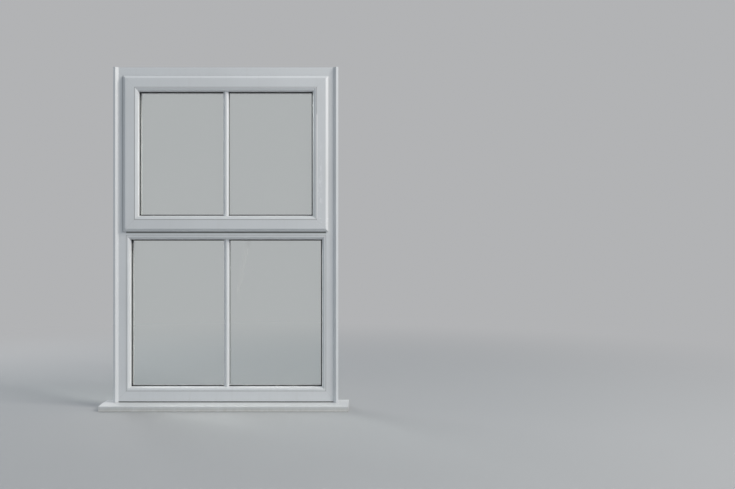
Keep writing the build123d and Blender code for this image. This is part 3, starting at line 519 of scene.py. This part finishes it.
def dress_plastic():
    """Profiles, beads, trims, bars and sill."""
    dress(
        plastic("upvc_frame", FRAME_RING, FIXED_JOINT, SILL_SHADE_LINE, FRAME_FOOT, lip=True),
        ["frame_jamb_left", "frame_jamb_right", "frame_head", "frame_base"],
    )
    dress(plastic("upvc_transom", shade_line=LIP_SHADOW_LINE), ["frame_transom"])
    dress(
        plastic("upvc_sash", SASH_RING, SASH_JOINT, scuffs=True),
        ["sash_top_rail", "sash_bottom_rail", "sash_stile_left", "sash_stile_right"],
    )
    dress(plastic("upvc_beads_sash", SASH_RING, SASH_JOINT), named("sash_beads"))
    dress(
        plastic("upvc_beads_fixed", FIXED_BEAD_RING, FIXED_JOINT, foot=FIXED_BEAD_FOOT),
        named("fixed_beads"),
    )
    dress(plastic("upvc_plain"), named("edge_trim", "_bar_outer", "_bar_inner"))
    dress(plastic("upvc_sill", nose=True), ["sill", "sill_end_cap_left", "sill_end_cap_right"])


def dress_glazing():
    """Glass, spacers, seals and packers."""
    dress(rubber("gasket", GASKET_BLACK), named("gasket", "frame_seal", "sash_seal"))
    dress(rubber("edge_sealant", SEALANT_BLACK), named("edge_seal"))
    dress(clear_glass("glass_weather", True), named("pane_outer"))
    dress(clear_glass("glass_room", False), named("pane_inner"))
    dress(spacer_bar("spacer_bar"), named("_spacer"))
    dress(packer_plastic("packer"), named("_packers"))


def dress_hardware():
    """Reinforcement, stays, lock, screws and handle."""
    dress(
        metal("zinc_plate", (0.62, 0.64, 0.66), 0.38, stain=ZINC_STAIN),
        named("steel_", "gearbox", "pinion", "spindle"),
    )
    dress(metal("stay_steel", (0.6, 0.6, 0.59), 0.36, grain=(1, 1, 0.03)), named("stay_"))
    dress(
        metal("lock_steel", (0.64, 0.645, 0.65), 0.3, grain=(0.03, 1, 1)),
        ["espag_faceplate", "espag_rod", "espag_keeps"],
    )
    dress(metal("screw_steel", (0.6, 0.61, 0.62), 0.3), named("_screws"))
    dress(metal("button_chrome", (0.82, 0.83, 0.84), 0.12, stain_share=0.08), ["lock_button"])
    dress(powder_coat("handle_white"), ["handle_base", "handle_lever"])


def floor_material():
    """Pale matt floor that fades into the backdrop's tone for the rays that show it."""
    tree = Surface("studio_floor")
    place = tree.place()
    tree.set(Roughness=0.9)
    darker = tuple(0.98 * channel for channel in FLOOR_TONE)
    tree.feed(Base_Color=tree.blend(tree.noise(place, 1.5, 2.0), darker, FLOOR_TONE))
    away = tree.add("VectorMath", operation="LENGTH")
    tree.link(place, away.inputs[0])
    far = tree.add("MapRange", interpolation_type="SMOOTHSTEP")
    far.inputs["From Min"].default_value = FADE_START
    far.inputs["From Max"].default_value = FADE_END
    tree.link(away.outputs["Value"], far.inputs["Value"])
    backdrop = tree.add("Emission")
    backdrop.inputs["Color"].default_value = (*BACKDROP_TONE, 1.0)
    share = tree.product(far.outputs[0], tree.shown())
    tree.link(tree.mix(share, tree.shader.outputs[0], backdrop.outputs[0]), tree.output.inputs["Surface"])
    return tree.material


def studio():
    """Round floor under the window, large enough to fade into the backdrop on all sides."""
    turns = [2 * math.pi * i / FLOOR_SIDES for i in range(FLOOR_SIDES)]
    verts = [(FLOOR_RADIUS * math.cos(turn), FLOOR_RADIUS * math.sin(turn), 0.0) for turn in turns]
    mesh = bpy.data.meshes.new("studio_floor")
    mesh.from_pydata(verts, [], [tuple(range(FLOOR_SIDES))])
    mesh.materials.append(floor_material())
    floor = bpy.data.objects.new("studio_floor", mesh)
    scene.collection.objects.link(floor)


def lamp(name, place, side, power, colour):
    """Square lamp turned to the window's middle."""
    data = bpy.data.lights.new(name, "AREA")
    data.size = side
    data.energy = power
    data.color = colour
    light = bpy.data.objects.new(name, data)
    light.location = place
    light.rotation_euler = (Vector(LAMPS_AIM) - Vector(place)).to_track_quat("-Z", "Y").to_euler()
    scene.collection.objects.link(light)


def lights():
    """A soft warm key high on the right, a lamp for the room side and an even cool sky."""
    lamp("key", (5.5, -2.8, 4.6), side=2.9, power=335.0, colour=(1.0, 0.97, 0.93))
    lamp("room", (-3.0, 3.3, 2.7), side=2.0, power=72.0, colour=(1.0, 1.0, 1.0))
    world = bpy.data.worlds.new("studio")
    scene.world = world
    world.use_nodes = True
    tree = Tree(world.node_tree)
    sky = world.node_tree.nodes["Background"]
    sky.inputs["Color"].default_value = SKY_TONE
    sky.inputs["Strength"].default_value = SKY_STRENGTH
    backdrop = tree.add("Background")
    backdrop.inputs["Color"].default_value = (*BACKDROP_TONE, 1.0)
    either = tree.mix(tree.shown(), sky.outputs[0], backdrop.outputs[0])
    tree.link(either, world.node_tree.nodes["World Output"].inputs["Surface"])


def camera():
    """Level camera at the photographer's place, to the right of the window."""
    data = bpy.data.cameras.new("camera")
    data.sensor_width = SENSOR
    data.lens = FOCAL * SENSOR / PHOTO_WIDTH
    eye = bpy.data.objects.new("camera", data)
    eye.location = EYE
    eye.rotation_euler = (math.pi / 2, 0, 0)
    scene.collection.objects.link(eye)
    scene.camera = eye


scene.view_settings.view_transform = "Standard"
dress_plastic()
dress_glazing()
dress_hardware()
studio()
lights()
camera()
